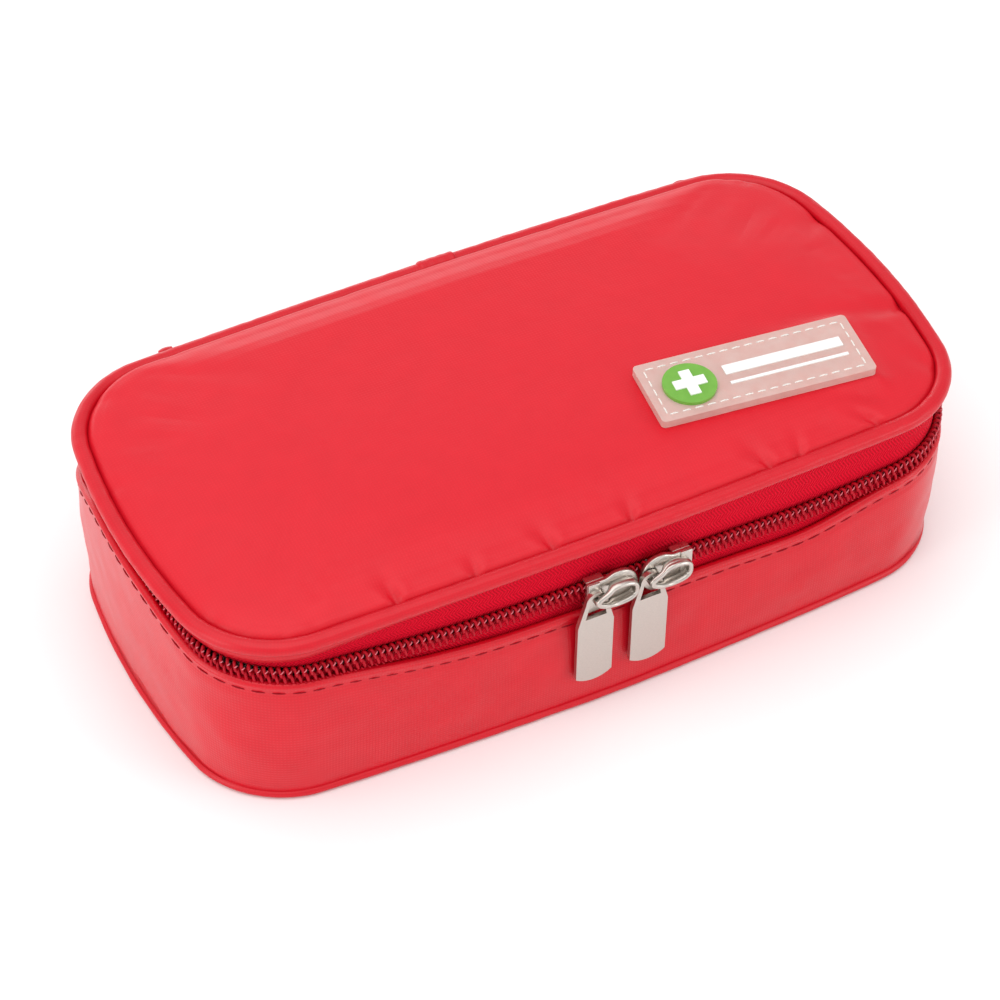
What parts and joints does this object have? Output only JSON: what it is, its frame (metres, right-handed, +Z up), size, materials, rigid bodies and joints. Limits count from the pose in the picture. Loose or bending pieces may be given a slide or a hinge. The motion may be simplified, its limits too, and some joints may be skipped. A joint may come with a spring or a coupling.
{
  "type": "first aid kit",
  "caption": "Soft zip-up first aid pouch with a padded domed lid hinged on a rounded base, double zip sliders with metal pulls, a sewn clear label, and dressings inside.",
  "frame": {"origin": "centre of the underside that the pouch stands on", "axes": "+X along the length, -Y to the front with the zip pulls, +Z up"},
  "size_m": [0.1802, 0.0968, 0.0522],
  "materials": {
    "shell_fabric": "satin coated ripstop, glossy on the base wall",
    "piping_fabric": "satin coated fabric rolled over a cord",
    "zip_tape": "woven herringbone tape",
    "zip_coil": "moulded nylon coil",
    "nickel": "satin nickel plate",
    "label_clear": "frosted clear soft plastic",
    "label_green": "moulded soft plastic",
    "label_white": "printed soft plastic",
    "thread_white": "twisted polyester thread",
    "thread_red": "twisted polyester thread",
    "foam": "closed-cell padding",
    "board": "thin stiffening board",
    "lining": "plain woven lining",
    "mesh": "knitted mesh",
    "cord_core": "extruded cord",
    "cotton": "elastic cotton gauze",
    "medical_tape": "woven adhesive tape",
    "card": "plain card",
    "paper_wrap": "sealed paper wrapper",
    "foil_wrap": "sealed sachet",
    "steel": "brushed"
  },
  "bodies": {
    "base": {"base_bottom_panel": "shell_fabric", "base_bottom_binding": "piping_fabric", "base_stiffener_board": "board", "base_floor_foam": "foam", "base_side_wall": "shell_fabric", "base_wall_hem": "shell_fabric", "base_wall_foam": "foam", "base_lining": "lining", "base_topstitch": "thread_red", "base_zip_tape": "zip_tape", "base_zip_coil": "zip_coil", "hinge_panel_lower": "shell_fabric", "zip_end_tabs_lower": "shell_fabric", "bandage_roll_large": "cotton", "bandage_roll_small": "cotton", "medical_tape_roll": "medical_tape", "medical_tape_core": "card", "gauze_pads": "paper_wrap", "wipe_sachets": "foil_wrap", "tweezers": "steel"},
    "lid": {"lid_top_panel": "shell_fabric", "lid_foam": "foam", "lid_lining": "lining", "lid_seam_binding": "lining", "lid_piping_cover": "piping_fabric", "lid_piping_cord": "cord_core", "lid_piping_splice": "piping_fabric", "lid_zip_tape": "zip_tape", "lid_zip_coil": "zip_coil", "hinge_panel_upper": "shell_fabric", "zip_end_tabs_upper": "shell_fabric", "lid_mesh_pocket": "mesh", "lid_pocket_binding": "lining", "plaster_strips": "paper_wrap", "label_plate": "label_clear", "label_disc": "label_green", "label_cross": "label_white", "label_bars": "label_white", "label_stitching": "thread_white"},
    "slider_left": {"slider_left_body": "nickel"},
    "slider_right": {"slider_right_body": "nickel"},
    "pull_left": {"pull_left_tab": "nickel"},
    "pull_right": {"pull_right_tab": "nickel"}
  },
  "joints": [
    {"name": "lid_hinge", "type": "hinge", "parent": "base", "child": "lid", "pos_m": [0.003, 0.0465, 0.0316], "axis": [-1, 0, 0], "range_deg": [0, 180]},
    {"name": "slider_left_slide", "type": "slide", "parent": "base", "child": "slider_left", "axis": [-0.9998, 0.0188, 0], "range_m": [0, 0.0573]},
    {"name": "slider_right_slide", "type": "slide", "parent": "base", "child": "slider_right", "axis": [0.9998, 0.0209, 0], "range_m": [0, 0.0502]},
    {"name": "pull_left_swing", "type": "hinge", "parent": "slider_left", "child": "pull_left", "pos_m": [-0.007, -0.0446, 0.0316], "axis": [0, 1, 0], "range_deg": [-10, 170]},
    {"name": "pull_right_swing", "type": "hinge", "parent": "slider_right", "child": "pull_right", "pos_m": [0.0055, -0.04457, 0.0316], "axis": [0, 1, 0], "range_deg": [-48, 10]}
  ]
}
